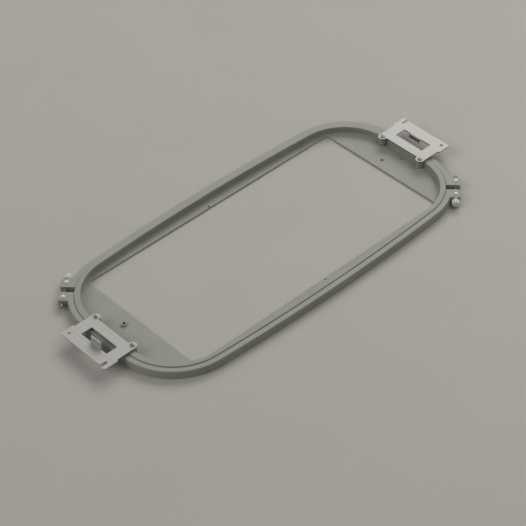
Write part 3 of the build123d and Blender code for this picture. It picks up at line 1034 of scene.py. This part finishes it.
class HOOP_OT_pins(bpy.types.Operator):
    """Turn the domed barrel pins and bore them for the clamp screws"""

    bl_idname = "hoop.pins"
    bl_label = "Barrel pins"

    def execute(self, context):
        finish = context.scene.hoop_finish
        colour, groups = shown(finish.pin_colour), shared_groups()
        material = turned_metal("satin pin steel", colour, 0.5, groups, metallic=0.55)
        tree = turned_tree("Barrel Pin", bore=True)
        foot, rise, bore = 0.4 * MM, 1.3 * MM, 2.08 * MM
        for side in SIDES:
            origin, axis = screw_line(side)
            for kind in ("plain_pin", "nut_pin"):
                node = f"{side}_{kind}"
                low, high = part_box(node)
                radius, length = (high.x - low.x) / 2, high.z - low.z
                crown = (radius**2 + rise**2) / (2 * rise)
                swing = math.degrees(math.asin(radius / crown))
                points = [(0, 0), (radius - foot, 0), (radius, foot)]
                points += arc((0, length - crown), crown, 90 - swing, 90, 10)
                points[-1] = (0, length)
                mesh = turned_mesh(
                    node,
                    tree,
                    points,
                    sharp=35,
                    radius=radius,
                    length=length,
                    sides=56,
                    bore_radius=bore,
                    bore_height=origin.z - low.z,
                    material=material,
                )
                mesh.transform(axis_frame(foot_centre(node), UP, axis))
                dress(node + "_domed", mesh, material, "clamp_pin", node)
        return {"FINISHED"}


def soft_light(name, azimuth, elevation, distance, width, height, share):
    """Soft oblong light aimed at the hoop, giving the floor there its share of a full light."""
    lamp = bpy.data.lights.new(name, "AREA")
    lamp.shape = "RECTANGLE"
    lamp.size = width
    lamp.size_y = height
    lamp.energy = share * math.pi**2 * distance**2 / math.sin(elevation)
    lamp.color = (1.0, 0.99, 0.975)
    aim = Vector((math.cos(azimuth), math.sin(azimuth), math.tan(elevation))).normalized()
    light = bpy.data.objects.new(name, lamp)
    light.location = aim * distance
    light.rotation_mode = "QUATERNION"
    light.rotation_quaternion = aim.to_track_quat("Z", "Y")
    bpy.context.scene.collection.objects.link(light)


class HOOP_OT_stage(bpy.types.Operator):
    """Lay the pale floor, light it softly and set the camera"""

    bl_idname = "hoop.stage"
    bl_label = "Stage"

    def execute(self, context):
        scene, studio = context.scene, context.scene.hoop_studio
        reach, drop = 6.0, 0.02 * MM
        mesh = bpy.data.meshes.new("floor")
        turns = ((-1, -1), (1, -1), (1, 1), (-1, 1))
        corners = [(reach * x, reach * y, -drop) for x, y in turns]
        mesh.from_pydata(corners, [], [(0, 1, 2, 3)])
        mesh.materials.append(floor_surface("pale table top", shown(studio.floor_colour)))
        floor = bpy.data.objects.new("floor", mesh)
        scene.collection.objects.link(floor)

        for name, distance, width, height in (
            ("key", studio.far_distance, studio.key_width, studio.key_height),
            ("side", studio.far_distance, studio.side_size, studio.side_size),
            ("fill", studio.fill_distance, studio.fill_size, studio.fill_size),
        ):
            azimuth, elevation, share = (
                getattr(studio, f"{name}_{key}") for key in ("azimuth", "elevation", "share")
            )
            soft_light(name, azimuth, elevation, distance, width, height, share)

        world = bpy.data.worlds.new("studio")
        world.use_nodes = True
        background = world.node_tree.nodes["Background"]
        background.inputs["Color"].default_value = (0.97, 0.985, 1.0, 1.0)
        lamps_share = studio.key_share + studio.side_share + studio.fill_share
        background.inputs["Strength"].default_value = 1 - lamps_share
        scene.world = world

        camera_data = bpy.data.cameras.new("camera")
        camera_data.lens = studio.lens
        camera_data.sensor_width = 36
        camera_data.clip_end = 40
        camera = bpy.data.objects.new("camera", camera_data)
        azimuth, elevation, roll = studio.view_azimuth, studio.view_elevation, studio.view_roll
        back = Vector(
            (
                math.sin(azimuth) * math.cos(elevation),
                -math.cos(azimuth) * math.cos(elevation),
                math.sin(elevation),
            )
        )
        level_right = Vector((math.cos(azimuth), math.sin(azimuth), 0))
        level_up = back.cross(level_right)
        right = math.cos(roll) * level_right + math.sin(roll) * level_up
        up = math.cos(roll) * level_up - math.sin(roll) * level_right
        camera.rotation_mode = "QUATERNION"
        camera.rotation_quaternion = Matrix((right, up, back)).transposed().to_quaternion()
        camera.location = Vector(studio.view_target) + back * studio.view_distance
        scene.collection.objects.link(camera)
        scene.camera = camera
        scene.view_settings.view_transform = "Standard"
        return {"FINISHED"}


class HOOP_PT_panel(bpy.types.Panel):
    """Lists the hoop's settings and pieces"""

    bl_idname = "HOOP_PT_panel"
    bl_label = "Embroidery hoop"
    bl_space_type = "VIEW_3D"
    bl_region_type = "UI"
    bl_category = "Hoop"

    def draw(self, context):
        for title, settings in (
            ("Finish", context.scene.hoop_finish),
            ("Detail", context.scene.hoop_detail),
            ("Studio", context.scene.hoop_studio),
        ):
            box = self.layout.box()
            box.label(text=title)
            for key in settings.__annotations__:
                box.prop(settings, key)
        for step in STEPS:
            self.layout.operator(step.bl_idname)


STEPS = (
    HOOP_OT_rings,
    HOOP_OT_plates,
    HOOP_OT_plate_screws,
    HOOP_OT_inserts,
    HOOP_OT_clamp_screws,
    HOOP_OT_knobs,
    HOOP_OT_washers,
    HOOP_OT_pins,
    HOOP_OT_stage,
)
CLASSES = (HoopFinish, HoopDetail, HoopStudio, *STEPS, HOOP_PT_panel)


def register():
    """Register the classes and hang the settings on the scene."""
    for item in CLASSES:
        bpy.utils.register_class(item)
    bpy.types.Scene.hoop_finish = PointerProperty(type=HoopFinish)
    bpy.types.Scene.hoop_detail = PointerProperty(type=HoopDetail)
    bpy.types.Scene.hoop_studio = PointerProperty(type=HoopStudio)


def unregister():
    """Take the settings and classes away again."""
    del bpy.types.Scene.hoop_finish
    del bpy.types.Scene.hoop_detail
    del bpy.types.Scene.hoop_studio
    for item in reversed(CLASSES):
        bpy.utils.unregister_class(item)


def main():
    """Build every piece."""
    register()
    for step in STEPS:
        family, name = step.bl_idname.split(".")
        getattr(getattr(bpy.ops, family), name)()


if __name__ == "__main__":
    main()
